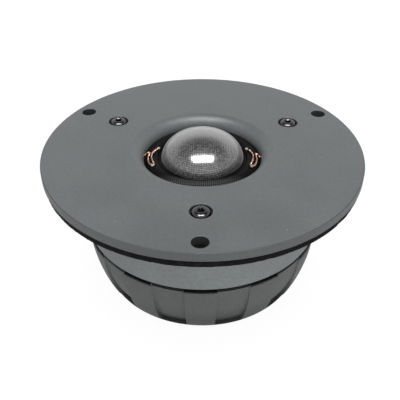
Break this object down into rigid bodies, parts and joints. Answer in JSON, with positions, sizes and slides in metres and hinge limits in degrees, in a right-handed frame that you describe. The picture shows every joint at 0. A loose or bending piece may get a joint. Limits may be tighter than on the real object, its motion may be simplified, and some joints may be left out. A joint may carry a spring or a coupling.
{
  "type": "dome tweeter",
  "caption": "Round flange-mounted dome tweeter: flat plate with a flared throat, cloth dome on a half-roll surround, housing band and a vented panelled rear cup.",
  "frame": {"origin": "centre of the rear cup's flat base", "axes": "+Z along the dome axis, out of the faceplate; -Y towards the front screw; +X to the right"},
  "size_m": [0.104, 0.104, 0.0531],
  "materials": {
    "satin_plate": "die-cast plate, fine satin textured powder coat",
    "moulded_band": "moulded ring, fine satin grain",
    "moulded_cup": "moulded glass-filled nylon, satin",
    "black_foam": "closed-cell foam",
    "coated_cloth": "plain-weave textile dome with a clear damping coat",
    "roll_sheet": "doped textile roll, glossy",
    "foil_former": "thin foil",
    "enamelled_copper": "enamelled wire winding",
    "bare_copper": "bright copper",
    "tinned_brass": "tinned brass",
    "plated_steel": "zinc-plated low-carbon steel",
    "nickel": "nickel plate",
    "black_steel": "black oxide screw steel",
    "black_plastic": "moulded plastic",
    "grey_felt": "felt",
    "red_insulation": "PVC sleeve"
  },
  "bodies": {
    "frame": {"chamber_foam": "black_foam", "cup_screw_1": "black_steel", "cup_screw_2": "black_steel", "cup_screw_3": "black_steel", "diaphragm_carrier": "black_plastic", "dome_damper": "grey_felt", "faceplate": "satin_plate", "faceplate_screw_1": "black_steel", "faceplate_screw_2": "black_steel", "faceplate_screw_3": "black_steel", "hookup_wire_left": "red_insulation", "hookup_wire_right": "red_insulation", "housing_band": "moulded_band", "lead_lug_left": "tinned_brass", "lead_lug_right": "tinned_brass", "lead_wire_left": "bare_copper", "lead_wire_right": "bare_copper", "magnet_1": "nickel", "magnet_2": "nickel", "magnet_3": "nickel", "magnet_4": "nickel", "magnet_5": "nickel", "magnet_6": "nickel", "mounting_gasket": "black_foam", "rear_cup": "moulded_cup", "shorting_cap": "bare_copper", "standoff_1": "nickel", "standoff_2": "nickel", "standoff_3": "nickel", "surround": "roll_sheet", "terminal_board": "black_plastic", "terminal_tab_negative": "tinned_brass", "terminal_tab_positive": "tinned_brass", "top_plate": "plated_steel", "vent_felt": "grey_felt", "yoke": "plated_steel"},
    "diaphragm": {"dome": "coated_cloth", "coil_former": "foil_former", "voice_coil": "enamelled_copper"}
  },
  "joints": [
    {"name": "dome_travel", "type": "slide", "parent": "frame", "child": "diaphragm", "axis": [0, 0, 1], "range_m": [-0.0005, 0.0005], "stiffness_N_per_m": 4000, "deforming": ["surround", "lead_wire_left", "lead_wire_right"]}
  ]
}
